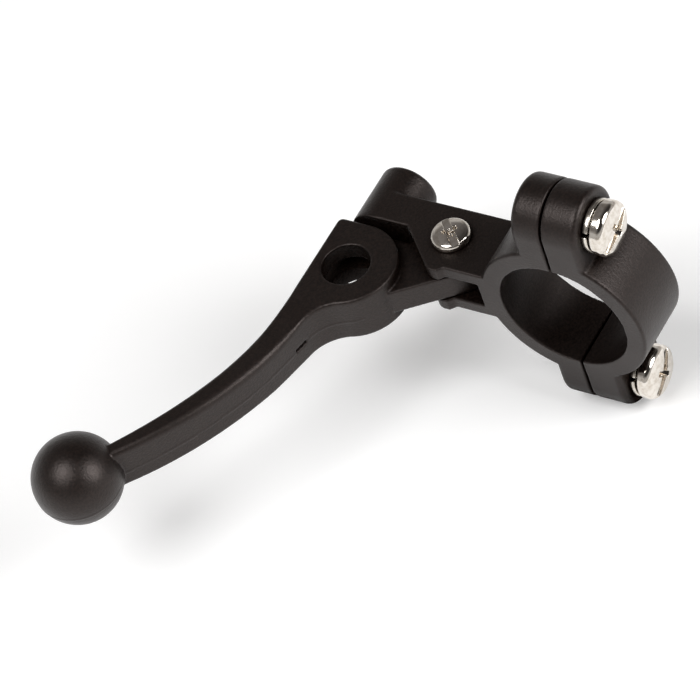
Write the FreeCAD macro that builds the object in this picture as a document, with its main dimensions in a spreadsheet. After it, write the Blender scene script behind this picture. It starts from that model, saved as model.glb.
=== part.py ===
"""Clutch lever with a two-part handlebar clamp, as a parametric FreeCAD document.

Frame: the origin is the centre of the handlebar bore. +X runs along the handlebar, away
from the lever's ball. +Y points forward, from the bar to the pivot. +Z is up, along the
pivot screw, whose head is on top. All sizes are millimetres.
"""
import FreeCAD, Part
import math
import os

import Sketcher
from FreeCAD import Placement, Rotation, Vector

SIZES = [
    ("bar_radius", 11.1, "handlebar bore, for a 22.2 mm bar"),
    ("ring_radius", 14.4, "outside of the clamp ring"),
    ("ring_width", 12.2, "clamp ring along the bar"),
    ("split_y", -0.5, "Y of the joint between bracket and cap"),
    ("split_gap", 0.3, "gap left between the two clamp halves"),
    ("lug_height", 17.7, "clamp screw axes above and below the bore axis"),
    ("lug_front", 4.9, "Y of the bracket's lug faces"),
    ("lug_rear", 6.9, "distance of the cap's lug faces behind the bore axis"),
    ("lug_round", 1.0, "rounding of the lug rims"),
    ("pivot_y", 22.3, "pivot axis ahead of the bore axis"),
    ("arm_height", 9.9, "fork arm over both ears"),
    ("arm_near", 6.1, "ears' side on the lever's side of the pivot"),
    ("arm_far", 6.1, "ears' side beyond the pivot"),
    ("fork_gap", 5.2, "gap between the ears"),
    ("fork_root", 15.0, "Y where the gap between the ears starts"),
    ("fork_end", 30.2, "Y where the gap between the ears ends"),
    ("nose_x", -5.4, "X of the ears' rounded nose"),
    ("nose_y", 22.6, "Y of the ears' rounded nose"),
    ("nose_radius", 1.6, "rounded nose of the ears"),
    ("block_near", 0.2, "X of the barrel block's near side"),
    ("block_corner", 30.7, "Y where the slanted ear edge meets the block"),
    ("barrel_y", 37.4, "cable axis ahead of the bore axis"),
    ("barrel_end", 11.4, "X of the barrel's mouth"),
    ("barrel_round", 0.7, "rounding of the barrel's mouth"),
    ("socket_radius", 3.05, "socket for the cable casing's end cap"),
    ("socket_depth", 8.0, "depth of that socket"),
    ("cable_hole", 1.25, "hole for the inner cable, radius"),
    ("head_height", 8.8, "lever head, top to bottom"),
    ("lobe_radius", 8.65, "lever head round the eye"),
    ("eye_x", -9.6, "X of the cable nipple's eye"),
    ("eye_y", 37.1, "Y of the cable nipple's eye"),
    ("eye_radius", 4.1, "eye for an 8 mm cable nipple"),
    ("head_front", 42.8, "Y of the head's front flat"),
    ("slot_height", 2.4, "slot that the cable swings through"),
    ("slot_x", -13.6, "X where that slot starts"),
    ("tongue_height", 4.8, "lever tongue between the ears"),
    ("tongue_radius", 5.7, "lever tongue round the pivot"),
    ("blade_height", 7.8, "lever blade, top to bottom"),
    ("blade_round", 1.4, "rounding of the blade's front edges"),
    ("grip_round", 0.6, "rounding of the blade's rear edges"),
    ("throat_round", 4.5, "inside curve between head and blade"),
    ("front_knee_x", -35.4, "X of the knee in the blade's front edge"),
    ("front_knee_y", 46.9, "Y of the knee in the blade's front edge"),
    ("rear_knee_x", -31.2, "X of the knee in the blade's rear edge"),
    ("rear_knee_y", 41.0, "Y of the knee in the blade's rear edge"),
    ("front_start_sweep", 38.0, "curve of the front edge between head and knee, radius"),
    ("front_sweep", 80.0, "curve of the front edge between knee and ball, radius"),
    ("rear_start_sweep", 140.0, "curve of the rear edge between head and knee, radius"),
    ("rear_sweep", 68.0, "curve of the rear edge between knee and ball, radius"),
    ("ball_x", -58.7, "X of the ball's centre"),
    ("ball_y", 61.2, "Y of the ball's centre"),
    ("ball_radius", 7.45, "ball at the lever's tip"),
    ("bush_radius", 3.0, "pivot bush, outside"),
    ("bush_play", 0.05, "running clearance round the bush"),
    ("screw_play", 0.04, "clearance round a screw"),
    ("pivot_screw_radius", 2.0, "M4 pivot screw"),
    ("pivot_screw_length", 9.6, "pivot screw under its head"),
    ("pivot_head_radius", 3.35, "pivot screw's head"),
    ("pivot_head_height", 2.0, "pivot screw's head"),
    ("clamp_screw_radius", 2.5, "M5 clamp screws"),
    ("clamp_screw_length", 12.0, "clamp screw under its head"),
    ("clamp_head_radius", 4.5, "clamp screw's head"),
    ("clamp_head_height", 2.9, "clamp screw's head"),
    ("washer_radius", 4.45, "spring washer, outside"),
    ("washer_height", 1.3, "spring washer, pressed flat"),
    ("washer_split", 0.7, "cut through the spring washer"),
    ("cross_width", 1.2, "arm width of a cross recess"),
    ("cross_depth", 1.4, "depth of a cross recess"),
]

BEYOND = 40.0   # far enough to clear the clamp when half of it is cut away


class Size:
    """A length with its value now and its formula in the spreadsheet."""

    def __init__(self, value, formula):
        self.value = value
        self.formula = formula

    def joined(self, sign, other, value):
        text = other.formula if isinstance(other, Size) else repr(other)
        return Size(value, "(%s %s %s)" % (self.formula, sign, text))

    def __add__(self, other):
        return self.joined("+", other, self.value + float(other))

    def __sub__(self, other):
        return self.joined("-", other, self.value - float(other))

    def __mul__(self, other):
        return self.joined("*", other, self.value * float(other))

    def __truediv__(self, other):
        return self.joined("/", other, self.value / float(other))

    def __neg__(self):
        return self * -1

    def __float__(self):
        return float(self.value)


class Dims:
    """The driving dimensions by name, held in the document's spreadsheet."""

    def __init__(self, doc, rows):
        sheet = doc.addObject("Spreadsheet::Sheet", "dims")
        for row, (alias, value, note) in enumerate(rows, start=1):
            sheet.set("A%d" % row, note)
            sheet.set("B%d" % row, str(value))
            sheet.setAlias("B%d" % row, alias)
            setattr(self, alias, Size(value, "dims." + alias))
        doc.recompute()


DOC = FreeCAD.newDocument("clutch_lever")
D = Dims(DOC, SIZES)


# ---- helpers -----------------------------------------------------------------------------

def bind(thing, name, size):
    """Give a property a Size's formula, or a plain number."""
    if isinstance(size, Size):
        thing.setExpression(name, size.formula)
    else:
        setattr(thing, name, size)


def place(thing, x=0.0, y=0.0, z=0.0, turn=None):
    """Move a sub-part to three Sizes or numbers, and turn it."""
    spot = Vector(float(x), float(y), float(z))
    thing.Placement = Placement(spot, turn or Rotation())
    for axis, size in zip("xyz", (x, y, z)):
        if isinstance(size, Size):
            thing.setExpression(".Placement.Base." + axis, size.formula)


def new_body(label):
    body = DOC.addObject("PartDesign::Body", label)
    body.Label = label
    return body


def new_sketch(body, name, role, rise=None):
    """A sketch on one of the body's own origin planes, raised along its normal."""
    sketch = body.newObject("Sketcher::SketchObject", name)
    plane = [item for item in body.Origin.OriginFeatures if item.Role == role][0]
    sketch.AttachmentSupport = [(plane, "")]
    sketch.MapMode = "FlatFace"
    if rise is not None:
        sketch.AttachmentOffset = Placement(Vector(0, 0, float(rise)), Rotation())
        sketch.setExpression(".AttachmentOffset.Base.z", rise.formula)
    return sketch


def set_size(sketch, constraint, size):
    """Add a constraint and bind its value to a Size."""
    index = sketch.addConstraint(constraint)
    if isinstance(size, Size):
        sketch.setExpression("Constraints[%d]" % index, size.formula)


def pin(sketch, geometry, point, across, along):
    """Fix a point of a sketch across and along from the sketch's origin."""
    for kind, size in (("DistanceX", across), ("DistanceY", along)):
        set_size(sketch, Sketcher.Constraint(kind, -1, 1, geometry, point, float(size)), size)


def circle(sketch, across, along, radius):
    centre = Vector(float(across), float(along), 0)
    index = sketch.addGeometry(Part.Circle(centre, Vector(0, 0, 1), float(radius)), False)
    pin(sketch, index, 3, across, along)
    set_size(sketch, Sketcher.Constraint("Radius", index, float(radius)), radius)


def arc_between(start, end, radius, turn):
    """The short arc from start to end; turn is 1 for a left-hand bend, -1 for right."""
    half = (end - start) / 2
    rise = math.sqrt(max(radius ** 2 - half.Length ** 2, 0))
    side = Vector(-half.y, half.x, 0).normalize() * rise * turn
    centre = start + half + side
    first, last = (start, end) if turn > 0 else (end, start)
    angles = [math.atan2(p.y - centre.y, p.x - centre.x) for p in (first, last)]
    whole = Part.Circle(centre, Vector(0, 0, 1), radius)
    return Part.ArcOfCircle(whole, angles[0], angles[1])


def outline(sketch, path):
    """Draw a closed outline.

    Each entry of path is a corner (across, along), or (across, along, radius, turn) where
    the stretch from this corner to the next is an arc.
    """
    pieces = []
    for corner, following in zip(path, path[1:] + path[:1]):
        start = Vector(float(corner[0]), float(corner[1]), 0)
        end = Vector(float(following[0]), float(following[1]), 0)
        if len(corner) == 2:
            index = sketch.addGeometry(Part.LineSegment(start, end), False)
            ends = (1, 2)
        else:
            radius, turn = corner[2:]
            index = sketch.addGeometry(arc_between(start, end, float(radius), turn), False)
            ends = (1, 2) if turn > 0 else (2, 1)
            set_size(sketch, Sketcher.Constraint("Radius", index, float(radius)), radius)
        pin(sketch, index, ends[0], corner[0], corner[1])
        pieces.append((index, ends))
    for (index, ends), (other, starts) in zip(pieces, pieces[1:] + pieces[:1]):
        sketch.addConstraint(Sketcher.Constraint("Coincident", index, ends[1],
                                                 other, starts[0]))


def rectangle(sketch, left, low, right, high):
    outline(sketch, [(left, low), (right, low), (right, high), (left, high)])


def pad(body, sketch, length, both=False, back=False):
    """Grow a sketch: both ways from its plane, or one way."""
    feature = body.newObject("PartDesign::Pad", sketch.Name + "_pad")
    feature.Profile = sketch
    bind(feature, "Length", length)
    feature.SideType = "Symmetric" if both else "One side"
    feature.Reversed = back
    sketch.Visibility = False
    DOC.recompute()
    return feature


def pocket(body, sketch, length=None, both=True, back=False):
    """Cut with a sketch, right through where no length is given."""
    before = body.Shape.Volume
    feature = body.newObject("PartDesign::Pocket", sketch.Name + "_cut")
    feature.Profile = sketch
    if length is None:
        feature.Type = "ThroughAll"
    else:
        bind(feature, "Length", length)
    feature.SideType = "Symmetric" if both else "One side"
    feature.Reversed = back
    sketch.Visibility = False
    DOC.recompute()
    if body.Shape.Volume > before - 0.01:
        raise RuntimeError(feature.Name + " removes nothing")
    return feature


def soften(body, name, radius, wanted):
    """Round the edges of the body for which wanted(edge) is true."""
    tip = body.Tip
    names = ["Edge%d" % (n + 1) for n, edge in enumerate(tip.Shape.Edges) if wanted(edge)]
    feature = body.newObject("PartDesign::Fillet", name)
    feature.Base = (tip, names)
    bind(feature, "Radius", radius)
    DOC.recompute()
    return feature


def middle(edge):
    """The point half way along an edge."""
    return edge.valueAt((edge.FirstParameter + edge.LastParameter) / 2)


def near(value, size, slack=0.02):
    return abs(value - float(size)) < slack


# ---- clamp -------------------------------------------------------------------------------

def clamp_blank(body, lug_depth, front):
    """Full ring with the two screw lugs on one side of the bore axis."""
    ring = new_sketch(body, "ring", "YZ_Plane")
    circle(ring, 0, 0, D.ring_radius)
    pad(body, ring, D.ring_width, both=True)
    half = D.ring_width / 2
    web = new_sketch(body, "lug_web", "XZ_Plane")
    rectangle(web, -half, -D.lug_height, half, D.lug_height)
    pad(body, web, lug_depth, back=front)
    for name, sign in (("upper_lug", 1), ("lower_lug", -1)):
        lug = new_sketch(body, name, "XZ_Plane")
        circle(lug, 0, D.lug_height * sign, half)
        pad(body, lug, lug_depth, back=front)


def clamp_finish(body, face_y, front, hole_radius):
    """Bore for the bar, the split face, the screw holes and the rounded rims."""
    bore = new_sketch(body, "bar_bore", "YZ_Plane")
    circle(bore, 0, 0, D.bar_radius)
    pocket(body, bore)
    other_half = new_sketch(body, "other_half", "XZ_Plane", rise=-face_y)
    rectangle(other_half, -BEYOND, -BEYOND, BEYOND, BEYOND)
    pocket(body, other_half, both=False, back=front)
    holes = new_sketch(body, "screw_holes", "XZ_Plane")
    for sign in (1, -1):
        circle(holes, 0, D.lug_height * sign, hole_radius)
    pocket(body, holes)


def lug_rim(edge, face_y):
    """True for the outer rim of a lug, in the plane of its face."""
    box = edge.BoundBox
    if not (near(box.YMin, face_y) and near(box.YMax, face_y)):
        return False
    round_end = hasattr(edge.Curve, "Radius") and near(edge.Curve.Radius, D.ring_width / 2)
    side = near(abs(box.XMin), D.ring_width / 2) and near(box.XMax, box.XMin)
    return round_end or side


def fork_arm(body):
    """The arm's outline with its slanted edge and rounded nose, then the fork gap."""
    lean = math.sqrt(0.5)
    nose_end = (D.nose_x - D.nose_radius * lean, D.nose_y + D.nose_radius * lean)
    slant = new_sketch(body, "arm", "XY_Plane")
    outline(slant, [
        (-D.arm_near, D.ring_radius * 0.8),
        (D.arm_far, D.ring_radius * 0.8),
        (D.arm_far, D.barrel_y),
        (D.block_near, D.barrel_y),
        (D.block_near, D.block_corner),
        (nose_end[0], nose_end[1], D.nose_radius, 1),
        (D.nose_x - D.nose_radius, D.nose_y),
        (D.nose_x - D.nose_radius, D.nose_y - 1.0),
        (-D.arm_near, D.nose_y - 1.9),
    ])
    pad(body, slant, D.arm_height, both=True)


def fork_gap(body):
    gap = new_sketch(body, "fork_gap", "XY_Plane")
    outline(gap, [
        (-BEYOND, D.fork_root),
        (BEYOND, D.fork_root),
        (BEYOND, D.fork_end),
        (D.block_near, D.fork_end),
        (D.block_near, D.fork_end + 2.0),
        (-BEYOND, D.fork_end + 2.0),
    ])
    pocket(body, gap, D.fork_gap)
    hole = new_sketch(body, "pivot_holes", "XY_Plane")
    circle(hole, 0, D.pivot_y, D.pivot_screw_radius + D.screw_play)
    pocket(body, hole)


def cable_barrel(body):
    barrel = new_sketch(body, "barrel", "YZ_Plane", rise=D.block_near)
    circle(barrel, D.barrel_y, 0, D.arm_height / 2)
    pad(body, barrel, D.barrel_end - D.block_near)


def cable_holes(body):
    """Socket for the casing's end cap, and the hole that goes on for the inner cable."""
    socket = new_sketch(body, "casing_socket", "YZ_Plane", rise=D.barrel_end)
    circle(socket, D.barrel_y, 0, D.socket_radius)
    pocket(body, socket, D.socket_depth, both=False)
    hole = new_sketch(body, "inner_cable_hole", "YZ_Plane")
    circle(hole, D.barrel_y, 0, D.cable_hole)
    pocket(body, hole)


def clamp_bracket():
    """Front half of the clamp with the fork arm and the cable barrel, one casting."""
    body = new_body("clamp_bracket")
    clamp_blank(body, D.lug_front, front=True)
    fork_arm(body)
    cable_barrel(body)
    clamp_finish(body, D.split_y + D.split_gap / 2, front=True,
                 hole_radius=D.clamp_screw_radius + D.screw_play)
    fork_gap(body)
    cable_holes(body)
    soften(body, "lug_rims", D.lug_round, lambda edge: lug_rim(edge, D.lug_front))
    soften(body, "barrel_mouth", D.barrel_round, lambda edge: (
        near(edge.BoundBox.XMin, D.barrel_end) and near(edge.Curve.Radius, D.arm_height / 2)))
    return body


def clamp_cap():
    """Rear half of the clamp, with the faces that the spring washers sit on."""
    body = new_body("clamp_cap")
    clamp_blank(body, D.lug_rear, front=False)
    clamp_finish(body, D.split_y - D.split_gap / 2, front=False,
                 hole_radius=D.clamp_screw_radius + D.screw_play * 4)
    soften(body, "lug_rims", D.lug_round, lambda edge: lug_rim(edge, -D.lug_rear))
    return body


# ---- lever -------------------------------------------------------------------------------

def blade_path():
    """Plan of the blade: it leaves the head straight and sweeps forward to the ball."""
    return [
        (D.eye_x - 6.4, D.eye_y - 0.9),
        (D.eye_x, D.eye_y),
        (D.eye_x, D.head_front),
        (D.eye_x - 8.4, D.head_front, D.front_start_sweep, -1),
        (D.front_knee_x, D.front_knee_y, D.front_sweep, -1),
        (D.ball_x + 5.5, D.ball_y - 4.0),
        (D.ball_x, D.ball_y),
        (D.ball_x + 3.2, D.ball_y - 5.6, D.rear_sweep, 1),
        (D.rear_knee_x, D.rear_knee_y, D.rear_start_sweep, 1),
    ]


def lever_blade(body):
    """Blade with its long edges rounded."""
    blade = new_sketch(body, "blade", "XY_Plane")
    outline(blade, blade_path())
    pad(body, blade, D.blade_height, both=True)
    soften(body, "front_edges", D.blade_round, lambda edge: blade_edge(edge, True))
    soften(body, "rear_edges", D.grip_round, lambda edge: blade_edge(edge, False))


def lever_head(body):
    """Round lobe and square shoulder round the eye."""
    lobe = new_sketch(body, "lobe", "XY_Plane")
    circle(lobe, D.eye_x, D.eye_y, D.lobe_radius)
    pad(body, lobe, D.head_height, both=True)
    shoulder = new_sketch(body, "shoulder", "XY_Plane")
    rectangle(shoulder, D.eye_x - D.lobe_radius, D.eye_y,
              D.eye_x + D.lobe_radius, D.head_front)
    pad(body, shoulder, D.head_height, both=True)


def lever_throat(body):
    """Hollow curve that fills the corner between the lobe and the blade's rear side."""
    throat = new_sketch(body, "throat", "XY_Plane")
    outline(throat, [
        (D.eye_x - 8.0, D.eye_y - 2.9, D.throat_round, 1),
        (D.eye_x - 12.9, D.eye_y + 1.3),
        (D.eye_x - 8.0, D.eye_y + 1.0),
    ])
    pad(body, throat, D.blade_height, both=True)


def lever_front_flat(body):
    """The lobe is cut flat in front, where its wall round the eye is thin."""
    flat = new_sketch(body, "front_flat", "XY_Plane")
    rectangle(flat, D.eye_x - D.lobe_radius, D.head_front,
              D.eye_x + D.lobe_radius + 1.0, D.head_front + 5.0)
    pocket(body, flat)


def lever_tongue(body):
    """Thinner tongue from the head into the fork, round at the pivot."""
    boss = new_sketch(body, "tongue_end", "XY_Plane")
    circle(boss, 0, D.pivot_y, D.tongue_radius)
    pad(body, boss, D.tongue_height, both=True)
    tongue = new_sketch(body, "tongue", "XY_Plane")
    outline(tongue, [
        (D.tongue_radius * -0.8, D.pivot_y - D.tongue_radius * 0.6),
        (0, D.pivot_y),
        (D.tongue_radius * 0.586, D.pivot_y + D.tongue_radius * 0.811),
        (D.eye_x + D.lobe_radius - 0.25, D.pivot_y + 7.9),
        (D.eye_x + D.lobe_radius - 0.25, D.eye_y),
        (D.eye_x, D.eye_y),
        (D.tongue_radius * -0.8 - 7.2, D.pivot_y - D.tongue_radius * 0.6 + 9.6),
    ])
    pad(body, tongue, D.tongue_height, both=True)


def lever_ball(body):
    ball = body.newObject("PartDesign::AdditiveSphere", "ball")
    plane = [item for item in body.Origin.OriginFeatures if item.Role == "XY_Plane"][0]
    ball.AttachmentSupport = [(plane, "")]
    ball.MapMode = "FlatFace"
    bind(ball, "Radius", D.ball_radius)
    ball.setExpression(".AttachmentOffset.Base.x", D.ball_x.formula)
    ball.setExpression(".AttachmentOffset.Base.y", D.ball_y.formula)
    DOC.recompute()


def lever_holes(body):
    """Eye for the nipple, slot for the cable, bore for the bush."""
    eye = new_sketch(body, "eye", "XY_Plane")
    circle(eye, D.eye_x, D.eye_y, D.eye_radius)
    pocket(body, eye)
    slot = new_sketch(body, "cable_slot", "XY_Plane")
    rectangle(slot, D.slot_x, D.eye_y - 1.3, D.eye_x + D.lobe_radius + 1.0,
              D.head_front + 1.0)
    pocket(body, slot, D.slot_height)
    bore = new_sketch(body, "bush_bore", "XY_Plane")
    circle(bore, 0, D.pivot_y, D.bush_radius + D.bush_play)
    pocket(body, bore)


def blade_middle(x):
    """Y of the blade's middle line at x, to tell its front edges from its rear ones."""
    back = -20.0 - x
    return 40.2 + 0.184 * back + 0.0081 * back ** 2


def blade_edge(edge, front):
    """True for a long top or bottom edge of the blade, on the asked side."""
    point = middle(edge)
    along = edge.BoundBox.XLength > 2.0
    level = near(abs(point.z), D.blade_height / 2)
    between = float(D.ball_x + 3.5) < point.x < float(D.eye_x - 2.0)
    return along and level and between and (point.y > blade_middle(point.x)) == front


def lever():
    """Blade with its ball, head with the nipple's eye, and tongue, one casting."""
    body = new_body("lever")
    lever_blade(body)
    lever_head(body)
    lever_front_flat(body)
    lever_throat(body)
    lever_tongue(body)
    lever_ball(body)
    lever_holes(body)
    return body


# ---- screws, washers and bush ------------------------------------------------------------

def cross_path(reach, width):
    """The twelve corners of a cross whose arms end at reach."""
    near_side = width / 2
    corners = []
    for turn in range(4):
        angle = math.radians(90 * turn)
        for across, along in ((reach, -near_side), (reach, near_side),
                              (near_side, near_side)):
            corners.append((across * math.cos(angle) - along * math.sin(angle),
                            across * math.sin(angle) + along * math.cos(angle)))
    return corners


def pan_screw(label, thread, length, head_radius, head_height):
    """Pan head screw standing on z = 0 under its head, with a cross recess."""
    body = new_body(label)
    profile = new_sketch(body, "profile", "XZ_Plane")
    rim = head_height * 0.45
    drop = head_height - rim
    crown = head_radius * head_radius / (drop * 2) + drop / 2
    outline(profile, [
        (0, head_height, crown, -1),
        (head_radius, rim),
        (head_radius, 0),
        (thread, 0),
        (thread, -length + 0.5),
        (thread - 0.5, -length),
        (0, -length),
    ])
    turned = body.newObject("PartDesign::Revolution", "turned")
    turned.Profile = profile
    turned.ReferenceAxis = (profile, ["V_Axis"])
    turned.Angle = 360.0
    profile.Visibility = False
    DOC.recompute()
    recess = new_sketch(body, "recess", "XY_Plane", rise=head_height)
    reach = float(head_radius) * 0.62
    outline(recess, cross_path(reach, float(D.cross_width)))
    pocket(body, recess, D.cross_depth, both=False)
    return body


def pivot_screw():
    body = pan_screw("pivot_screw", D.pivot_screw_radius, D.pivot_screw_length,
                     D.pivot_head_radius, D.pivot_head_height)
    place(body, y=D.pivot_y, z=D.arm_height / 2)
    return body


def clamp_screw(label, sign):
    body = pan_screw(label, D.clamp_screw_radius, D.clamp_screw_length,
                     D.clamp_head_radius, D.clamp_head_height)
    place(body, y=-(D.lug_rear + D.washer_height), z=D.lug_height * sign,
          turn=Rotation(Vector(1, 0, 0), 90))
    return body


def cylinder(name, radius, height, drop=None):
    item = DOC.addObject("Part::Cylinder", name)
    bind(item, "Radius", radius)
    bind(item, "Height", height)
    if drop is not None:
        place(item, z=-drop)
    return item


def cut(name, base, tool):
    item = DOC.addObject("Part::Cut", name)
    item.Base = base
    item.Tool = tool
    item.Label = name
    return item


def spring_washer(label, sign):
    """Split ring washer, pressed flat under a clamp screw's head."""
    disc = cylinder(label + "_disc", D.washer_radius, D.washer_height)
    hole = cylinder(label + "_hole", D.clamp_screw_radius + D.screw_play * 2,
                    D.washer_height)
    ring = cut(label + "_ring", disc, hole)
    saw = DOC.addObject("Part::Box", label + "_saw")
    bind(saw, "Length", D.washer_radius * 1.5)
    bind(saw, "Width", D.washer_split)
    bind(saw, "Height", D.washer_height * 2)
    place(saw, x=-D.washer_radius * 1.5, y=-D.washer_split / 2, z=-D.washer_height / 2)
    washer = cut(label, ring, saw)
    place(washer, y=-D.lug_rear, z=D.lug_height * sign, turn=Rotation(Vector(1, 0, 0), 90))
    return washer


def pivot_bush():
    """Steel sleeve that the screw clamps between the ears and the lever turns on."""
    outside = cylinder("bush_outside", D.bush_radius, D.fork_gap)
    inside = cylinder("bush_inside", D.pivot_screw_radius + D.screw_play, D.fork_gap)
    bush = cut("pivot_bush", outside, inside)
    place(bush, y=D.pivot_y, z=-D.fork_gap / 2)
    return bush


# ---- document ----------------------------------------------------------------------------

def check(doc):
    """Stop if any object failed to compute."""
    for item in doc.Objects:
        if "Invalid" in item.State or "Error" in item.State:
            raise RuntimeError("%s: %s" % (item.Name, item.State))


def main():
    parts = [clamp_bracket(), clamp_cap(), lever(), pivot_screw(), pivot_bush()]
    for place_name, sign in (("upper", 1), ("lower", -1)):
        parts.append(clamp_screw("clamp_screw_" + place_name, sign))
        parts.append(spring_washer("spring_washer_" + place_name, sign))
    DOC.recompute()
    check(DOC)
    for item in parts:
        if item.Shape.isNull() or not item.Shape.isValid():
            raise RuntimeError(item.Label + " has no valid shape")
    os.makedirs("parts", exist_ok=True)
    for item in parts:
        item.Shape.exportStep("parts/%s.step" % item.Label)
        box = item.Shape.BoundBox
        print("%-22s %9.1f mm3  x %.1f..%.1f  y %.1f..%.1f  z %.1f..%.1f" % (
            item.Label, item.Shape.Volume, box.XMin, box.XMax, box.YMin, box.YMax,
            box.ZMin, box.ZMax))


main()
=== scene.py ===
"""Looks of a clutch lever with its split handlebar clamp.

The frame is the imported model's own: the origin is the centre of the handlebar bore, +X
runs along the bar away from the lever's ball, +Y points forward to the pivot and +Z is up
along the pivot screw. Sizes in the classes are millimetres; finished meshes are metres.
"""
import logging
import math
from dataclasses import dataclass
from enum import Enum
from typing import Callable, Iterable, Optional, Sequence

import bmesh
import bpy
from mathutils import Matrix, Quaternion, Vector


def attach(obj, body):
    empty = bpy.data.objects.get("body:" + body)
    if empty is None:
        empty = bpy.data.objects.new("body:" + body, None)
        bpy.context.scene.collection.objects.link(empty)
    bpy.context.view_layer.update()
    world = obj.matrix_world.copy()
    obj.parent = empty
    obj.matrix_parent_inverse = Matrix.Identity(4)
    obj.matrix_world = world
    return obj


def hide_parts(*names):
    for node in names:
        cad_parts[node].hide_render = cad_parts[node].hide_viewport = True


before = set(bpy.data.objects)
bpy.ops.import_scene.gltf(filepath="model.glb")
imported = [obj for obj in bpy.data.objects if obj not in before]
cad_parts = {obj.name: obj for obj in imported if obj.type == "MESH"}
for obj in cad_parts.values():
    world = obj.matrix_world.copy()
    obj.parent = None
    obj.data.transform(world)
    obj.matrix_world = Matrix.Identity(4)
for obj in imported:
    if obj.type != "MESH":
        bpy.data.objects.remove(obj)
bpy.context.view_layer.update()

LOG = logging.getLogger("clutch_lever")
MM = 0.001
ROUND_STEPS = 96              # sides of a turned shape
RIM_STEPS = 5                 # steps across a rounded rim
BRACKET_BODY = "bracket"
LEVER_BODY = "lever"
Corner = Sequence[float]


class Facing(Enum):
    """Plane that an outline is drawn on, by the way its depth grows."""

    UP = Matrix.Identity(4)
    ALONG_X = Matrix(((0, 0, 1, 0), (1, 0, 0, 0), (0, 1, 0, 0), (0, 0, 0, 1)))
    ALONG_Y = Matrix(((0, 1, 0, 0), (0, 0, 1, 0), (1, 0, 0, 0), (0, 0, 0, 1)))


class Join(Enum):
    """How one solid is combined with another."""

    ADD = "UNION"
    CUT = "DIFFERENCE"


# ---- drawing and growing ------------------------------------------------------------------

def blend(place: float, start: float, end: float) -> float:
    """Go smoothly from 0 to 1 between two places.

    Args:
        place: Where the share is wanted.
        start: Place where it is still 0.
        end: Place where it has become 1.

    Returns:
        The share, from 0 to 1.
    """
    share = min(1.0, max(0.0, (place - start) / (end - start)))
    return share * share * (3.0 - 2.0 * share)


def arc_centre(start: Vector, end: Vector, radius: float, turn: int) -> Vector:
    """Find the centre of the short arc between two points.

    Args:
        start: First point of the arc.
        end: Last point of the arc.
        radius: Radius of the arc.
        turn: 1 for a left-hand bend, -1 for a right-hand one.

    Returns:
        The centre of the arc.
    """
    half = (end - start) / 2
    rise = math.sqrt(max(radius ** 2 - half.length ** 2, 0.0))
    side = Vector((-half.y, half.x, 0.0)).normalized()
    return start + half + side * rise * turn


def draw_outline(mesh: bmesh.types.BMesh, corners: Sequence[Corner],
                 steps: int = 12) -> bmesh.types.BMFace:
    """Draw a closed outline with a pen in the XY plane and fill it with one face.

    Args:
        mesh: Mesh to draw in.
        corners: Points (x, y), or (x, y, radius, turn) where an arc leads to the next one.
        steps: Straight pieces in each arc.

    Returns:
        The face inside the outline.
    """
    pen = first = mesh.verts.new((corners[0][0], corners[0][1], 0.0))
    for corner, following in zip(corners, [*corners[1:], corners[0]]):
        end = Vector((following[0], following[1], 0.0))
        if len(corner) == 2:
            made = bmesh.ops.extrude_vert_indiv(mesh, verts=[pen])
            pen = made["verts"][0]
            pen.co = end
        else:
            centre = arc_centre(pen.co, end, corner[2], int(corner[3]))
            angle = (pen.co - centre).angle(end - centre) * corner[3]
            made = bmesh.ops.spin(mesh, geom=[pen], cent=centre, axis=(0.0, 0.0, 1.0),
                                  angle=angle, steps=steps)
            pen = [item for item in made["geom_last"]
                   if isinstance(item, bmesh.types.BMVert)][0]
    bmesh.ops.pointmerge(mesh, verts=[first, pen], merge_co=first.co)
    loose = [edge for edge in mesh.edges if not edge.link_faces]
    return bmesh.ops.contextual_create(mesh, geom=loose)["faces"][0]


def grow(mesh: bmesh.types.BMesh, face: bmesh.types.BMFace, low: float, high: float) -> None:
    """Grow a face of the XY plane into a solid between two heights.

    Args:
        mesh: Mesh that holds the face.
        face: Face to grow.
        low: Height of the solid's underside.
        high: Height of its top.
    """
    bmesh.ops.translate(mesh, verts=face.verts, vec=(0.0, 0.0, low))
    made = bmesh.ops.extrude_face_region(mesh, geom=[face])
    verts = [item for item in made["geom"] if isinstance(item, bmesh.types.BMVert)]
    bmesh.ops.translate(mesh, verts=verts, vec=(0.0, 0.0, high - low))


def round_edges(mesh: bmesh.types.BMesh, radius: float,
                wanted: Callable[[bmesh.types.BMEdge], bool]) -> None:
    """Round the edges that a test picks.

    Args:
        mesh: Mesh to work on.
        radius: Width of the rounding.
        wanted: True for an edge to be rounded.
    """
    edges = [edge for edge in mesh.edges if wanted(edge)]
    bmesh.ops.bevel(mesh, geom=edges, offset=radius, offset_type="OFFSET", affect="EDGES",
                    segments=RIM_STEPS, profile=0.5, material=-1, clamp_overlap=True)


def at_height(height: float) -> Callable[[bmesh.types.BMEdge], bool]:
    """Make a test for the edges that lie level at a height.

    Args:
        height: Height of the edges.

    Returns:
        The test, true for an edge whose two ends are at that height.
    """
    return lambda edge: all(abs(vert.co.z - height) < 1e-4 for vert in edge.verts)


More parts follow.
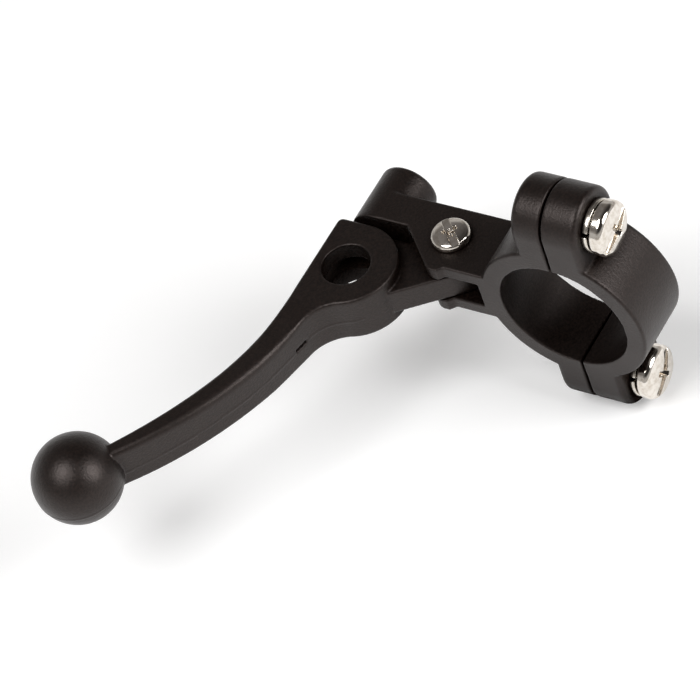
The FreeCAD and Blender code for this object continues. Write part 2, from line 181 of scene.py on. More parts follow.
def solid(mesh: bmesh.types.BMesh, facing: Facing = Facing.UP,
          centre: Sequence[float] = (0.0, 0.0, 0.0)) -> bpy.types.Object:
    """Turn a finished bmesh into an object, with its place in its vertices.

    Args:
        mesh: The shape; it is freed.
        facing: Plane that it was drawn on.
        centre: Where its own origin goes.

    Returns:
        The new object, not yet part of the model.
    """
    bmesh.ops.remove_doubles(mesh, verts=mesh.verts, dist=1e-4)
    bmesh.ops.transform(mesh, matrix=Matrix.Translation(centre) @ facing.value,
                        verts=mesh.verts)
    bmesh.ops.recalc_face_normals(mesh, faces=mesh.faces)
    data = bpy.data.meshes.new("work")
    mesh.to_mesh(data)
    mesh.free()
    made = bpy.data.objects.new("work", data)
    bpy.context.scene.collection.objects.link(made)
    return made


def plate(corners: Sequence[Corner], low: float, high: float,
          rounding: float = 0.0) -> bpy.types.Object:
    """Make an upright solid of one outline, with its rims rounded.

    Args:
        corners: Outline, as draw_outline takes it.
        low: Height of its underside.
        high: Height of its top.
        rounding: Rounding of its rims, or 0 for none.

    Returns:
        The solid.
    """
    mesh = bmesh.new()
    grow(mesh, draw_outline(mesh, corners), low, high)
    if rounding:
        round_edges(mesh, rounding, at_height(high))
        round_edges(mesh, rounding, at_height(low))
    return solid(mesh)


def rod(radius: float, low: float, high: float, rounding: float = 0.0,
        facing: Facing = Facing.UP, both: bool = True, steps: int = ROUND_STEPS,
        centre: Sequence[float] = (0.0, 0.0, 0.0)) -> bpy.types.Object:
    """Make a round solid, with its rims rounded.

    Args:
        radius: Its radius.
        low: Where it starts along its axis.
        high: Where it ends.
        rounding: Rounding of its rims, or 0 for none.
        facing: Direction of its axis.
        both: Round both rims, or the high one only.
        steps: Sides of the circle.
        centre: Where its own origin goes.

    Returns:
        The solid.
    """
    mesh = bmesh.new()
    bmesh.ops.create_circle(mesh, cap_ends=True, radius=radius, segments=steps)
    grow(mesh, mesh.faces[:][0], low, high)
    if rounding:
        round_edges(mesh, rounding, at_height(high))
        if both:
            round_edges(mesh, rounding, at_height(low))
    return solid(mesh, facing, centre)


def box(low: Sequence[float], high: Sequence[float]) -> bpy.types.Object:
    """Make a box between two corners, for cutting with.

    Args:
        low: Its lowest corner.
        high: Its highest corner.

    Returns:
        The box.
    """
    mesh = bmesh.new()
    bmesh.ops.create_cube(mesh, size=1.0)
    size = [b - a for a, b in zip(low, high)]
    bmesh.ops.scale(mesh, vec=size, verts=mesh.verts)
    middle = [(a + b) / 2 for a, b in zip(low, high)]
    return solid(mesh, centre=middle)


def lathe(corners: Sequence[Corner],
          centre: Sequence[float] = (0.0, 0.0, 0.0)) -> bpy.types.Object:
    """Turn a solid about the Z axis.

    Args:
        corners: Half of its section as draw_outline takes it, with (radius, height) points.
        centre: Where its own origin goes.

    Returns:
        The solid.
    """
    mesh = bmesh.new()
    face = draw_outline(mesh, corners, steps=8)
    bmesh.ops.rotate(mesh, cent=(0.0, 0.0, 0.0), verts=mesh.verts,
                     matrix=Matrix.Rotation(math.pi / 2, 3, "X"))
    bmesh.ops.delete(mesh, geom=[face], context="FACES_ONLY")
    on_axis = [edge for edge in mesh.edges if all(v.co.x < 1e-5 for v in edge.verts)]
    bmesh.ops.delete(mesh, geom=on_axis, context="EDGES")
    bmesh.ops.spin(mesh, geom=[*mesh.verts, *mesh.edges], cent=(0.0, 0.0, 0.0),
                   axis=(0.0, 0.0, 1.0), angle=math.tau, steps=ROUND_STEPS, use_merge=True)
    return solid(mesh, centre=centre)


def settle(thing: bpy.types.Object) -> None:
    """Write an object's modifiers into its mesh.

    Args:
        thing: Object whose modifiers are finished.
    """
    view = bpy.context.evaluated_depsgraph_get()
    view.update()
    finished = bpy.data.meshes.new_from_object(thing.evaluated_get(view))
    old = thing.data
    thing.modifiers.clear()
    thing.data = finished
    bpy.data.meshes.remove(old)


def combine(base: bpy.types.Object, how: Join, tools: Iterable[bpy.types.Object]) -> None:
    """Add solids to a base, or cut them out of it; they are used up.

    Args:
        base: Solid that stays.
        how: Whether the others are added or cut.
        tools: The other solids.
    """
    for tool in tools:
        modifier = base.modifiers.new("combine", "BOOLEAN")
        modifier.operation = how.value
        modifier.solver = "EXACT"
        modifier.object = tool
        settle(base)
        bpy.data.objects.remove(tool)


def cast(thing: bpy.types.Object, grain: float, passes: int) -> None:
    """Give a solid even small faces and edges softened as a casting's are.

    Args:
        thing: Solid with sharp edges.
        grain: Size of the faces.
        passes: How often the surface is smoothed.
    """
    remesh = thing.modifiers.new("even", "REMESH")
    remesh.mode = "VOXEL"
    remesh.voxel_size = grain
    smooth = thing.modifiers.new("soften", "SMOOTH")
    smooth.factor = 0.5
    smooth.iterations = passes
    settle(thing)


def finish_piece(thing: bpy.types.Object, name: str, body: str,
                 finish: bpy.types.Material, nodes: Sequence[str]) -> bpy.types.Object:
    """Name a piece, dress it, shade it smooth and hang it on its body.

    Args:
        thing: The finished shape, in millimetres.
        name: Name of the piece.
        body: Body it moves with.
        finish: Its material.
        nodes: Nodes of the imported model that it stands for.

    Returns:
        The piece.
    """
    thing.name = thing.data.name = name
    thing.data.transform(Matrix.Scale(MM, 4))
    thing.data.materials.clear()
    thing.data.materials.append(finish)
    thing.data.shade_smooth()
    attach(thing, body)
    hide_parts(*nodes)
    LOG.info("%s: %d faces on %s", name, len(thing.data.polygons), body)
    return thing


# ---- finishes ------------------------------------------------------------------------------

def linear(hex_colour: str) -> tuple[float, float, float, float]:
    """Turn an sRGB hex colour into linear light.

    Args:
        hex_colour: Colour such as "1c1b1b".

    Returns:
        Red, green, blue and an alpha of 1.
    """
    shares = [int(hex_colour[start:start + 2], 16) / 255 for start in (0, 2, 4)]
    light = [s / 12.92 if s <= 0.04045 else ((s + 0.055) / 1.055) ** 2.4 for s in shares]
    return (light[0], light[1], light[2], 1.0)


def add_node(tree: bpy.types.NodeTree, kind: str, settings: Optional[dict] = None,
             inputs: Optional[dict] = None) -> bpy.types.Node:
    """Add a node with its settings, its values and its links.

    Args:
        tree: Node tree to add to.
        kind: Blender's name of the node type.
        settings: Properties of the node.
        inputs: Value of each input by its name, or the output socket to link to it.

    Returns:
        The node.
    """
    node = tree.nodes.new(kind)
    for name, value in (settings or {}).items():
        setattr(node, name, value)
    for name, value in (inputs or {}).items():
        if isinstance(value, bpy.types.NodeSocket):
            tree.links.new(value, node.inputs[name])
        else:
            node.inputs[name].default_value = value
    return node


def ramp(tree: bpy.types.NodeTree, source: bpy.types.NodeSocket,
         stops: Sequence[tuple[float, tuple]]) -> bpy.types.NodeSocket:
    """Colour a value by two stops along a ramp.

    Args:
        tree: Node tree to add to.
        source: Value from 0 to 1.
        stops: Position and colour of both stops.

    Returns:
        The colour's socket.
    """
    node = add_node(tree, "ShaderNodeValToRGB", inputs={"Fac": source})
    for element, (place, colour) in zip(node.color_ramp.elements, stops):
        element.position = place
        element.color = colour
    return node.outputs["Color"]


@dataclass(frozen=True)
class PowderCoat:
    """Satin black powder coat on a die casting: deep, with a fine orange-peel grain and painted
    shade in its hollows.
    """

    name: str = "powder_coated_zinc_casting"
    dark: str = "070403"      # low spots of the peel
    light: str = "19120f"     # high spots of the peel
    sheen: str = "fff0eb"     # faint warm cast in what the coat mirrors
    painted_shade_reach_mm: float = 24.0   # reach of the walls whose nearness turns the coat's reflection down: painted shade in hollows
    painted_shade_specular: float = 0.0     # specular level in a deep hollow: painted shade
    open_sheen: float = 0.5       # specular level on the open surface, where no painted shade falls
    roughness_low: float = 0.34
    roughness_high: float = 0.44
    grain_mm: float = 0.38    # orange peel, drawn coarse enough to show
    blotch_mm: float = 9.0    # slow changes of gloss
    grain_depth: float = 0.6
    grain_rise_mm: float = 0.1
    ior: float = 1.46

    def make(self) -> bpy.types.Material:
        """Build the material."""
        material = bpy.data.materials.new(self.name)
        material.use_nodes = True
        tree = material.node_tree
        shader = tree.nodes["Principled BSDF"]
        place = add_node(tree, "ShaderNodeTexCoord").outputs["Object"]
        blotch = add_node(tree, "ShaderNodeTexNoise", inputs={
            "Vector": place, "Scale": 1 / (self.blotch_mm * MM), "Detail": 3.0,
            "Roughness": 0.55})
        grain = add_node(tree, "ShaderNodeTexNoise", inputs={
            "Vector": place, "Scale": 1 / (self.grain_mm * MM), "Detail": 4.0,
            "Roughness": 0.6})
        colour = ramp(tree, grain.outputs["Fac"], [
            (0.38, linear(self.dark)), (0.62, linear(self.light))])
        tree.links.new(colour, shader.inputs["Base Color"])
        gloss = add_node(tree, "ShaderNodeMapRange", inputs={
            "Value": blotch.outputs["Fac"], "From Min": 0.3, "From Max": 0.7,
            "To Min": self.roughness_low, "To Max": self.roughness_high})
        tree.links.new(gloss.outputs["Result"], shader.inputs["Roughness"])
        # Painted shade: an ambient occlusion node turns the specular level down where walls are
        # near. This darkens the bore, the fork gap and other hollows.
        painted_shade_ao = add_node(tree, "ShaderNodeAmbientOcclusion", {"samples": 8}, {
            "Distance": self.painted_shade_reach_mm * MM})
        sheen = add_node(tree, "ShaderNodeMapRange", inputs={
            "Value": painted_shade_ao.outputs["AO"], "From Min": 0.4, "From Max": 0.9,
            "To Min": self.painted_shade_specular, "To Max": self.open_sheen})
        tree.links.new(sheen.outputs["Result"], shader.inputs["Specular IOR Level"])
        bump = add_node(tree, "ShaderNodeBump", inputs={
            "Height": grain.outputs["Fac"], "Strength": self.grain_depth,
            "Distance": self.grain_rise_mm * MM})
        tree.links.new(bump.outputs["Normal"], shader.inputs["Normal"])
        shader.inputs["IOR"].default_value = self.ior
        shader.inputs["Specular Tint"].default_value = linear(self.sheen)
        return material


@dataclass(frozen=True)
class Plate:
    """Plated or turned steel: bright metal with faint marks from tumbling and handling."""

    name: str
    colour: str
    worn: str
    roughness_low: float
    roughness_high: float
    mark_mm: float = 0.9
    mark_depth: float = 0.05
    mark_rise_mm: float = 0.05

    def make(self) -> bpy.types.Material:
        """Build the material."""
        material = bpy.data.materials.new(self.name)
        material.use_nodes = True
        tree = material.node_tree
        shader = tree.nodes["Principled BSDF"]
        place = add_node(tree, "ShaderNodeTexCoord").outputs["Object"]
        marks = add_node(tree, "ShaderNodeTexNoise", inputs={
            "Vector": place, "Scale": 1 / (self.mark_mm * MM), "Detail": 4.0,
            "Roughness": 0.6})
        colour = ramp(tree, marks.outputs["Fac"], [
            (0.35, linear(self.worn)), (0.6, linear(self.colour))])
        tree.links.new(colour, shader.inputs["Base Color"])
        gloss = add_node(tree, "ShaderNodeMapRange", inputs={
            "Value": marks.outputs["Fac"], "From Min": 0.3, "From Max": 0.7,
            "To Min": self.roughness_high, "To Max": self.roughness_low})
        tree.links.new(gloss.outputs["Result"], shader.inputs["Roughness"])
        bump = add_node(tree, "ShaderNodeBump", inputs={
            "Height": marks.outputs["Fac"], "Strength": self.mark_depth,
            "Distance": self.mark_rise_mm * MM})
        tree.links.new(bump.outputs["Normal"], shader.inputs["Normal"])
        shader.inputs["Metallic"].default_value = 1.0
        return material


@dataclass(frozen=True)
class Finishes:
    """The finishes of the whole object."""

    casting: bpy.types.Material
    lever: bpy.types.Material
    screw: bpy.types.Material
    spring: bpy.types.Material
    bush: bpy.types.Material

    @classmethod
    def make(cls) -> "Finishes":
        """Build every finish."""
        return cls(
            casting=PowderCoat().make(),
            lever=PowderCoat(name="powder_coated_alloy_lever", roughness_low=0.32,
                             roughness_high=0.42).make(),
            screw=Plate("nickel_plated_screw_steel", "e6e0d8", "cfc6ba", 0.07, 0.15).make(),
            spring=Plate("zinc_plated_spring_steel", "d8d2c8", "b9b2a8", 0.14, 0.26).make(),
            bush=Plate("turned_bush_steel", "a5a4a2", "7e7c7a", 0.25, 0.4).make())


# ---- the castings ---------------------------------------------------------------------------

@dataclass
class Clamp:
    """The two halves of the handlebar clamp, and the fork arm cast onto the front one."""

    finishes: Finishes
    bar_radius: float = 11.1
    ring_radius: float = 14.4
    half_width: float = 6.1
    split: float = -0.5
    split_gap: float = 0.3
    lug_height: float = 17.7
    lug_front: float = 4.9
    lug_rear: float = -6.9
    lug_round: float = 1.0
    split_round: float = 0.3
    rim_round: float = 0.35
    screw_hole: float = 2.6
    pivot_y: float = 22.3
    arm_half: float = 4.95
    gap_half: float = 2.6
    fork_root: float = 15.0
    fork_end: float = 30.2
    pivot_hole: float = 2.05
    nose: tuple = (-5.4, 22.6, 1.6)
    block_near: float = 0.2
    block_corner: float = 30.7
    barrel_y: float = 37.4
    barrel_end: float = 11.4
    barrel_round: float = 0.8
    socket_radius: float = 3.05
    socket_depth: float = 8.0
    cable_hole: float = 1.25
    grain: float = 0.21
    beyond: float = 40.0

    def ring(self) -> bpy.types.Object:
        """Make the whole ring round the bar, its rims rounded."""
        return rod(self.ring_radius, -self.half_width, self.half_width, self.rim_round,
                   Facing.ALONG_X, steps=160)

    def lugs(self, low: float, high: float, front: bool) -> list[bpy.types.Object]:
        """Make the pair of screw lugs, each with a half-round end.

        Args:
            low: Where they start along Y.
            high: Where they end.
            front: True where the rounded rim is the front one.

        Returns:
            The two lugs.
        """
        made = []
        for side in (1, -1):
            width, top = self.half_width, self.lug_height
            outline = [(0.0, width), (0.0, -width), (top, -width, width, 1),
                       (top + width, 0.0, width, 1), (top, width)]
            mesh = bmesh.new()
            grow(mesh, draw_outline(mesh, outline, steps=24), low, high)
            round_edges(mesh, self.lug_round, at_height(high if front else low))
            round_edges(mesh, self.split_round, at_height(low if front else high))
            if side < 0:
                bmesh.ops.scale(mesh, vec=(-1.0, 1.0, 1.0), verts=mesh.verts)
            made.append(solid(mesh, Facing.ALONG_Y))
        return made

    def screw_holes(self) -> list[bpy.types.Object]:
        """Make the tools that cut the holes of the two clamp screws."""
        return [rod(self.screw_hole, -self.beyond, self.beyond, facing=Facing.ALONG_Y,
                    steps=48, centre=(0.0, 0.0, self.lug_height * side)) for side in (1, -1)]

    def bore(self) -> bpy.types.Object:
        """Make the tool that cuts the bore for the bar."""
        return rod(self.bar_radius, -self.beyond, self.beyond, facing=Facing.ALONG_X,
                   steps=160)

    def arm(self) -> bpy.types.Object:
        """Make the fork arm's outline, with its slanted edge and rounded nose."""
        nose_x, nose_y, nose_radius = self.nose
        lean = math.sqrt(0.5) * nose_radius
        return plate([
            (-self.half_width, self.ring_radius * 0.8),
            (self.half_width, self.ring_radius * 0.8),
            (self.half_width, self.barrel_y),
            (self.block_near, self.barrel_y),
            (self.block_near, self.block_corner),
            (nose_x - lean, nose_y + lean, nose_radius, 1),
            (nose_x - nose_radius, nose_y),
            (nose_x - nose_radius, nose_y - 1.0),
            (-self.half_width, nose_y - 1.9),
        ], -self.arm_half, self.arm_half, 0.25)

    def barrel(self) -> bpy.types.Object:
        """Make the cable barrel across the end of the arm."""
        return rod(self.arm_half, self.block_near, self.barrel_end, self.barrel_round,
                   Facing.ALONG_X, both=False, centre=(0.0, self.barrel_y, 0.0))

    def fork_gap(self) -> bpy.types.Object:
        """Make the tool that opens the fork between its two ears."""
        far = self.beyond
        return plate([
            (-far, self.fork_root), (far, self.fork_root), (far, self.fork_end),
            (self.block_near, self.fork_end), (self.block_near, self.fork_end + 2.0),
            (-far, self.fork_end + 2.0),
        ], -self.gap_half, self.gap_half)

    def bracket(self) -> bpy.types.Object:
        """Make the front half of the clamp, with its arm and barrel."""
        base = self.ring()
        face = self.split + self.split_gap / 2
        combine(base, Join.ADD, [*self.lugs(face, self.lug_front, True), self.arm(),
                                 self.barrel()])
        combine(base, Join.CUT, [
            self.bore(),
            box((-self.beyond, -self.beyond, -self.beyond), (self.beyond, face, self.beyond)),
            *self.screw_holes(),
            self.fork_gap(),
            rod(self.pivot_hole, -self.beyond, self.beyond, steps=48,
                centre=(0.0, self.pivot_y, 0.0)),
            rod(self.socket_radius, self.barrel_end - self.socket_depth, self.beyond,
                facing=Facing.ALONG_X, steps=64, centre=(0.0, self.barrel_y, 0.0)),
            rod(self.cable_hole, -self.beyond, self.beyond, facing=Facing.ALONG_X, steps=32,
                centre=(0.0, self.barrel_y, 0.0))])
        cast(base, self.grain, 2)
        return finish_piece(base, "bracket_casting", BRACKET_BODY,
                            self.finishes.casting, ["clamp_bracket"])

    def cap(self) -> bpy.types.Object:
        """Make the rear half of the clamp."""
        base = self.ring()
        face = self.split - self.split_gap / 2
        combine(base, Join.ADD, self.lugs(self.lug_rear, face, False))
        combine(base, Join.CUT, [
            self.bore(),
            box((-self.beyond, face, -self.beyond), (self.beyond, self.beyond, self.beyond)),
            *self.screw_holes()])
        cast(base, self.grain, 3)
        return finish_piece(base, "cap_casting", BRACKET_BODY,
                            self.finishes.casting, ["clamp_cap"])

    def build(self) -> None:
        """Build both halves."""
        self.bracket()
        self.cap()


@dataclass
class Lever:
    """The lever: a curved blade with a ball, a head with the cable's eye, and a tongue."""

    finishes: Finishes
    head_half: float = 4.4
    lobe_radius: float = 8.65
    eye: tuple = (-9.6, 37.1)
    eye_radius: float = 4.1
    head_front: float = 43.1
    slot_half: float = 1.2
    slot_x: float = -13.6
    tongue_half: float = 2.4
    tongue_radius: float = 5.7
    pivot_y: float = 22.3
    bore_radius: float = 3.05
    blade_half: float = 3.9
    front_knee: tuple = (-35.4, 46.9)
    rear_knee: tuple = (-31.2, 40.8)
    throat_end: tuple = (-23.2, 38.8)
    throat_start: tuple = (-17.3, 34.4)
    throat_round: float = 7.2
    front_round: float = 0.9
    rim_round: float = 0.45
    rear_round: float = 1.3
    ball: tuple = (-58.7, 61.2)
    ball_radius: float = 7.45
    seam_z: float = -0.5
    seam_slope: float = 0.022
    swell_from: float = -27.0     # the blade begins to thicken towards the head
    swell_to: float = -15.0       # the head has its full thickness
    swell_cuts: int = 12
    grain: float = 0.205
    beyond: float = 20.0

    def plan(self) -> list[Corner]:
        """Give the outline of head and blade in one line, seen from above."""
        x, y = self.eye
        far, corner = x + self.lobe_radius, 1.0
        ball_x, ball_y = self.ball
        return [
            (far, y), (far, self.head_front - corner, corner, 1),
            (far - corner, self.head_front), (x - 8.4, self.head_front, 56.0, -1),
            (*self.front_knee, 80.0, -1), (ball_x + 5.5, ball_y - 4.0),
            (ball_x + 2.0, ball_y), (ball_x - 1.0, ball_y - 4.0),
            (ball_x + 3.2, ball_y - 5.6, 68.0, 1),
            (*self.rear_knee, 110.0, 1), (*self.throat_end, self.throat_round, -1),
            (*self.throat_start, self.lobe_radius, 1),
            (x, y - self.lobe_radius, self.lobe_radius, 1),
        ]

    def rim_weight(self, edge: bmesh.types.BMEdge) -> float:
        """Say how much of the upper rear rim's rounding a rim edge takes.

        The rounding is small at the head, grows along the blade and shrinks a little again
        where the blade is slimmest; the lower rear rim keeps the head's small rounding.

        Args:
            edge: An edge of the outline at the top or the bottom.

        Returns:
            A share, from 0 to 1.
        """
        place = (edge.verts[0].co + edge.verts[1].co) / 2
        back = -20.0 - place.x                                # how far out from the head
        middle = 40.4 + 0.19 * back + 0.0081 * back ** 2      # the blade's curved middle line
        at_rear = place.y < middle or place.x > -15.0
        full = self.rear_round if at_rear else self.front_round
        if at_rear and place.z < 0:
            full = self.rim_round
        slim = 1.0 - 0.3 * blend(back, 18.0, 32.0)
        grown = blend(back, 0.0, 10.0)
        return (self.rim_round + (full * slim - self.rim_round) * grown) / self.rear_round

    def head_and_blade(self) -> bpy.types.Object:
        """Make head and blade in one, thicker at the head, with every rim rounded."""
        mesh = bmesh.new()
        grow(mesh, draw_outline(mesh, self.plan(), steps=20), -self.blade_half,
             self.blade_half)
        weights = mesh.edges.layers.float.new("bevel_weight_edge")
        for height in (self.blade_half, -self.blade_half):
            for edge in filter(at_height(height), mesh.edges):
                edge[weights] = self.rim_weight(edge)
        made = solid(mesh)
        bevel = made.modifiers.new("rims", "BEVEL")
        bevel.width = self.rear_round
        bevel.segments = RIM_STEPS
        bevel.limit_method = "WEIGHT"
        bevel.use_clamp_overlap = False
        settle(made)
        self.thicken_head(made)
        return made

    def thicken_head(self, thing: bpy.types.Object) -> None:
        """Let the top and bottom rise smoothly from the blade to the thicker head.

        Args:
            thing: Head and blade at the blade's thickness.
        """
        mesh = bmesh.new()
        mesh.from_mesh(thing.data)
        length = self.swell_to - self.swell_from
        for cut in range(self.swell_cuts + 1):
            place = (self.swell_from + length * cut / self.swell_cuts, 0.0, 0.0)
            bmesh.ops.bisect_plane(mesh, geom=[*mesh.verts, *mesh.edges, *mesh.faces],
                                   plane_co=place, plane_no=(1.0, 0.0, 0.0), dist=1e-5)
        extra = self.head_half / self.blade_half - 1.0
        for vert in mesh.verts:
            vert.co.z *= 1.0 + extra * blend(vert.co.x, self.swell_from, self.swell_to)
        mesh.to_mesh(thing.data)
        mesh.free()

    def tongue(self) -> bpy.types.Object:
        """Make the thin tongue that reaches into the fork, round at the pivot."""
        radius = self.tongue_radius
        x, y = self.eye
        return plate([
            (-radius * 0.8, self.pivot_y - radius * 0.6, radius, 1),
            (0.0, self.pivot_y - radius, radius, 1),
            (radius * 0.586, self.pivot_y + radius * 0.811),
            (x + self.lobe_radius - 0.25, self.pivot_y + 7.9),
            (x + self.lobe_radius - 0.25, y), (x, y),
            (-radius * 0.8 - 7.2, self.pivot_y - radius * 0.6 + 9.6),
        ], -self.tongue_half, self.tongue_half, 0.2)

    def knob(self) -> bpy.types.Object:
        """Make the ball at the blade's tip."""
        mesh = bmesh.new()
        bmesh.ops.create_icosphere(mesh, subdivisions=5, radius=self.ball_radius)
        return solid(mesh, centre=(*self.ball, 0.0))

    def cutters(self) -> list[bpy.types.Object]:
        """Make the tools for the eye, the cable's slot, the bush's bore and the seam's groove."""
        x, y = self.eye
        return [
            rod(self.eye_radius, -self.beyond, self.beyond, centre=(x, y, 0.0)),
            box((self.slot_x, y - 1.3, -self.slot_half),
                (x + self.lobe_radius + 1.0, self.head_front + 1.0, self.slot_half)),
            rod(self.bore_radius, -self.beyond, self.beyond, steps=64,
                centre=(0.0, self.pivot_y, 0.0)),
            plate([(-25.0, 37.0), (-22.4, 37.0), (-22.4, 39.4), (-25.0, 39.9)],
                  self.seam_z - 0.2, self.seam_z + 0.4),
        ]

    def raise_seam(self, thing: bpy.types.Object) -> None:
        """Raise the fine line where the two halves of the mould met.

        Args:
            thing: The lever in even small faces, in millimetres.
        """
        half_width, height = 0.16, 0.05
        for vert in thing.data.vertices:
            seam = self.seam_z + self.seam_slope * (vert.co.x - self.throat_end[0])
            if abs(vert.co.z - seam) < half_width and vert.co.x < self.eye[0] - 6.0:
                vert.co += vert.normal * height

    def build(self) -> None:
        """Build the lever."""
        base = self.head_and_blade()
        combine(base, Join.ADD, [self.tongue(), self.knob()])
        combine(base, Join.CUT, self.cutters())
        cast(base, self.grain, 2)
        self.raise_seam(base)
        finish_piece(base, "lever_casting", LEVER_BODY,
                     self.finishes.lever, ["lever"])


# ---- screws, washers and bush ---------------------------------------------------------------

@dataclass
class PanScrew:
    """A pan head screw with a slot and a cross recess, standing on its head's underside."""

    name: str
    node: str
    finish: bpy.types.Material
    thread: float
    length: float
    head: float
    height: float
    place: Matrix
    rim: float
    shoulder: float
    crown: float
    slot_turn: float = 0.0
    slot_half: float = 0.65
    slot_depth: float = 0.85
    grain: float = 0.07

    def body(self) -> bpy.types.Object:
        """Turn the screw: flat crown arc, rounded shoulder, side, shank and point."""
        top, rim, across = self.height, self.rim, self.head
        crown, shoulder = self.crown, self.shoulder
        return lathe([
            (0.0, -self.length), (self.thread - 0.5, -self.length),
            (self.thread, -self.length + 0.5), (self.thread, 0.0), (across - 0.25, 0.0),
            (across, 0.25), (across, rim, shoulder, 1),
            (across - shoulder * 0.72, rim + shoulder * 0.86, crown, 1), (0.0, top)])

    def recess(self) -> list[bpy.types.Object]:
        """Make the straight slot across the head and the tapered cross in its middle."""
        reach, width, depth = self.head * 0.62, self.head * 0.17, self.height * 0.7
        cuts = [(self.head * 1.2, self.slot_half, self.slot_depth, 0, 1.0),
                (reach, width, depth, 0, 0.3), (reach, width, depth, 1, 0.3)]
        tools = []
        for length, half, deep, quarter, taper in cuts:
            mesh = bmesh.new()
            bmesh.ops.create_cube(mesh, size=2.0)
            bmesh.ops.scale(mesh, vec=(length, half, deep), verts=mesh.verts)
            floor = [vert for vert in mesh.verts if vert.co.z < 0]
            bmesh.ops.scale(mesh, vec=(taper, taper, 1.0), verts=floor)
            bmesh.ops.rotate(mesh, cent=(0.0, 0.0, 0.0), verts=mesh.verts,
                             matrix=Matrix.Rotation(math.pi / 2 * quarter
                                                    + self.slot_turn, 3, "Z"))
            tools.append(solid(mesh, centre=(0.0, 0.0, self.height)))
        return tools

    def build(self) -> None:
        """Build the screw and put it in its place."""
        base = self.body()
        combine(base, Join.CUT, self.recess())
        cast(base, self.grain, 3)
        base.data.transform(self.place)
        finish_piece(base, self.name, BRACKET_BODY, self.finish, [self.node])


@dataclass
class SpringWasher:
    """A split ring of square wire, one turn of a shallow helix."""

    name: str
    node: str
    finish: bpy.types.Material
    place: Matrix
    outside: float = 4.4
    inside: float = 2.62
    wire: float = 0.98
    rise: float = 0.16
    opening: float = 9.0
    turned: float = 154.0
    bevel: float = 0.2
    steps: int = 90

    def build(self) -> None:
        """Build the washer and put it in its place."""
        mesh = bmesh.new()
        face = draw_outline(mesh, [(self.inside, 0.0), (self.outside, 0.0),
                                   (self.outside, self.wire), (self.inside, self.wire)])
        bmesh.ops.rotate(mesh, cent=(0.0, 0.0, 0.0), verts=mesh.verts,
                         matrix=Matrix.Rotation(math.pi / 2, 3, "X"))
        turn = math.radians(360.0 - self.opening)
        bmesh.ops.rotate(mesh, cent=(0.0, 0.0, 0.0), verts=mesh.verts,
                         matrix=Matrix.Rotation(
                             math.radians(self.turned + self.opening / 2), 3, "Z"))
        bmesh.ops.spin(mesh, geom=[face, *face.edges, *face.verts], cent=(0.0, 0.0, 0.0),
                       axis=(0.0, 0.0, 1.0), angle=turn, steps=self.steps,
                       dvec=(0.0, 0.0, self.rise / self.steps))
        sharp = [edge for edge in mesh.edges
                 if len(edge.link_faces) == 2 and edge.calc_face_angle(0.0) > 1.0]
        bmesh.ops.bevel(mesh, geom=sharp, offset=self.bevel, offset_type="OFFSET",
                        affect="EDGES", segments=3, profile=0.5, material=-1)
        made = solid(mesh)
        made.data.transform(self.place)
        finish_piece(made, self.name, BRACKET_BODY, self.finish, [self.node])


@dataclass
class Bush:
    """The turned sleeve between the ears, with a chamfer at each end."""

    finish: bpy.types.Material
    outside: float = 3.0
    inside: float = 2.04
    half: float = 2.6
    chamfer: float = 0.2
    pivot_y: float = 22.3

    def build(self) -> None:
        """Build the bush in its place."""
        made = lathe([
            (self.inside, -self.half), (self.outside - self.chamfer, -self.half),
            (self.outside, -self.half + self.chamfer),
            (self.outside, self.half - self.chamfer),
            (self.outside - self.chamfer, self.half), (self.inside, self.half),
        ], centre=(0.0, self.pivot_y, 0.0))
        finish_piece(made, "bush_sleeve", BRACKET_BODY, self.finish,
                     ["pivot_bush"])


@dataclass
class Fasteners:
    """All screws and washers, in their places."""

    finishes: Finishes
    pivot_y: float = 22.3
    arm_half: float = 4.95
    lug_height: float = 17.7
    lug_rear: float = 6.9
    washer: float = 1.3

    def build(self) -> None:
        """Build the pivot screw, then each clamp screw with its washer."""
        PanScrew("pivot_screw_plated", "pivot_screw", self.finishes.screw, thread=2.0,
                 length=9.6, head=3.35, height=2.0, rim=0.7, shoulder=0.9, crown=6.0,
                 place=Matrix.Translation((0.0, self.pivot_y, self.arm_half)),
                 slot_turn=math.radians(45.0)).build()
        back = Matrix.Rotation(math.pi / 2, 4, "X")
        for name, side, turn in (("upper", 1, 22.0), ("lower", -1, 45.0)):
            seat = Matrix.Translation((0.0, -self.lug_rear, self.lug_height * side))
            head = Matrix.Translation((0.0, -self.lug_rear - self.washer,
                                       self.lug_height * side))
            PanScrew(f"clamp_screw_{name}_plated", f"clamp_screw_{name}",
                     self.finishes.screw, thread=2.5, length=12.0, head=4.5, height=2.9,
                     rim=1.35, shoulder=1.2, crown=16.0, place=head @ back,
                     slot_turn=math.radians(turn)).build()
            SpringWasher(f"spring_washer_{name}_split", f"spring_washer_{name}",
                         self.finishes.spring, seat @ back).build()


# ---- setting --------------------------------------------------------------------------------

@dataclass(frozen=True)
class SoftLight:
    """A soft studio lamp, placed by the direction it shines from."""

    name: str
    direction: tuple
    distance: float
    size: float
    power: float

    def make(self, target: Vector) -> bpy.types.Object:
        """Add the lamp, turned to a point.

        Args:
            target: Point that it shines on, in metres.

        Returns:
            The lamp.
        """
        data = bpy.data.lights.new(self.name, "AREA")
        data.shape = "DISK"
        data.size = self.size
        data.energy = self.power
        lamp = bpy.data.objects.new(self.name, data)
        way = Vector(self.direction).normalized()
        lamp.location = target + way * self.distance
        lamp.rotation_mode = "QUATERNION"
        lamp.rotation_quaternion = (-way).to_track_quat("-Z", "Y")
        bpy.context.scene.collection.objects.link(lamp)
        return lamp


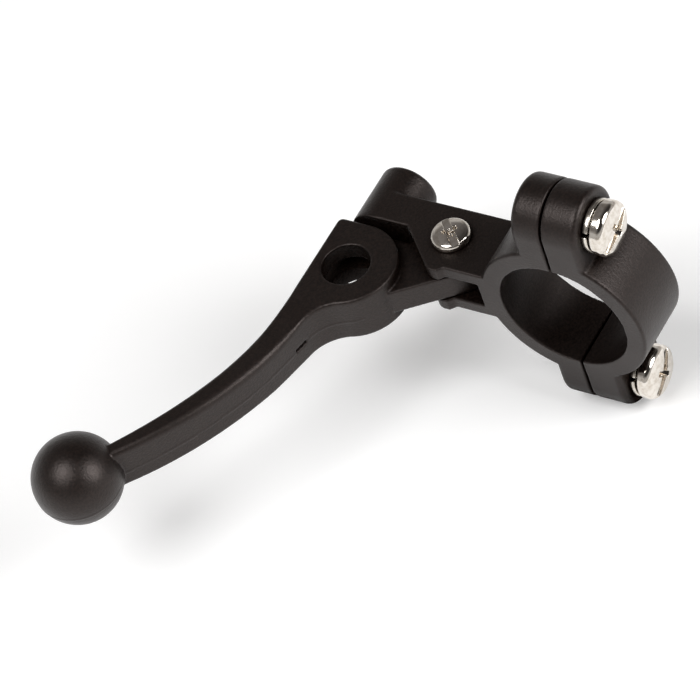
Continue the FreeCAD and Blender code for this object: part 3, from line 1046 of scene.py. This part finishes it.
@dataclass
class Studio:
    """Floor, lamps, surroundings and camera."""

    floor_drop: float = 24.6
    floor_size: float = 6.0
    floor_glow: float = 0.18
    horizon: tuple = (0.5, 0.49, 0.48, 1.0)
    ceiling_front: tuple = (0.03, 0.028, 0.027, 1.0)
    ceiling_back: tuple = (0.19, 0.18, 0.175, 1.0)
    target: tuple = (-24.5, 28.3, 3.4)
    azimuth: float = -44.26
    elevation: float = 47.47
    roll: float = -22.13
    distance: float = 700.0
    lens: float = 228.7
    sensor: float = 36.0

    def floor(self) -> None:
        """Lay a plain pale floor just under the lowest lug."""
        mesh = bmesh.new()
        bmesh.ops.create_grid(mesh, x_segments=4, y_segments=4, size=self.floor_size / 2)
        data = bpy.data.meshes.new("floor")
        mesh.to_mesh(data)
        mesh.free()
        data.transform(Matrix.Translation((0.0, 0.0, -self.floor_drop * MM)))
        made = bpy.data.objects.new("floor", data)
        bpy.context.scene.collection.objects.link(made)
        material = bpy.data.materials.new("matt_white_board")
        material.use_nodes = True
        shader = material.node_tree.nodes["Principled BSDF"]
        shader.inputs["Base Color"].default_value = linear("f4f4f4")
        shader.inputs["Roughness"].default_value = 0.9
        shader.inputs["Specular IOR Level"].default_value = 0.0
        shader.inputs["Emission Color"].default_value = linear("ffffff")
        shader.inputs["Emission Strength"].default_value = self.floor_glow
        data.materials.append(material)

    def surroundings(self) -> None:
        """Pale at the horizon, grey above the back wall and dark above the front."""
        world = bpy.data.worlds.new("studio")
        bpy.context.scene.world = world
        world.use_nodes = True
        tree = world.node_tree
        way = add_node(tree, "ShaderNodeTexCoord").outputs["Generated"]
        parts = add_node(tree, "ShaderNodeSeparateXYZ", inputs={"Vector": way})
        forward = add_node(tree, "ShaderNodeMapRange", inputs={
            "Value": parts.outputs["Y"], "From Min": -0.3, "From Max": 0.5})
        ceiling = ramp(tree, forward.outputs["Result"], [
            (0.0, self.ceiling_front), (1.0, self.ceiling_back)])
        rise = add_node(tree, "ShaderNodeMapRange", inputs={
            "Value": parts.outputs["Z"], "From Min": 0.26, "From Max": 0.44})
        colour = add_node(tree, "ShaderNodeMixRGB", inputs={
            "Fac": rise.outputs["Result"], "Color1": self.horizon, "Color2": ceiling})
        tree.links.new(colour.outputs["Color"], tree.nodes["Background"].inputs["Color"])
        tree.nodes["Background"].inputs["Strength"].default_value = 1.0

    def lamps(self) -> None:
        """Hang two soft boxes, one to each side of the camera."""
        target = Vector(self.target) * MM
        SoftLight("soft_box_left", (-0.486, 0.143, 0.860), 1.2, 0.78, 9.6).make(target)
        SoftLight("soft_box_right", (0.150, -0.813, 0.562), 1.2, 0.78, 10.6).make(target)

    def camera(self) -> None:
        """Put up the camera with its long lens, rolled a little."""
        data = bpy.data.cameras.new("camera")
        data.lens = self.lens
        data.sensor_width = self.sensor
        data.clip_start, data.clip_end = 0.01, 20.0
        made = bpy.data.objects.new("camera", data)
        turn, rise = math.radians(self.azimuth), math.radians(self.elevation)
        back = Vector((math.sin(turn) * math.cos(rise), -math.cos(turn) * math.cos(rise),
                       math.sin(rise)))
        made.location = (Vector(self.target) + back * self.distance) * MM
        made.rotation_mode = "QUATERNION"
        made.rotation_quaternion = (-back).to_track_quat("-Z", "Y") @ Quaternion(
            (0.0, 0.0, 1.0), math.radians(self.roll))
        bpy.context.scene.collection.objects.link(made)
        bpy.context.scene.camera = made

    def build(self) -> None:
        """Build the whole setting."""
        self.floor()
        self.surroundings()
        self.lamps()
        self.camera()
        bpy.context.scene.view_settings.view_transform = "Standard"


def main() -> None:
    """Build every piece, then the setting."""
    logging.basicConfig(level=logging.INFO, format="%(name)s: %(message)s")
    finishes = Finishes.make()
    Clamp(finishes).build()
    Lever(finishes).build()
    Fasteners(finishes).build()
    Bush(finishes.bush).build()
    Studio().build()


if __name__ == "__main__":
    main()
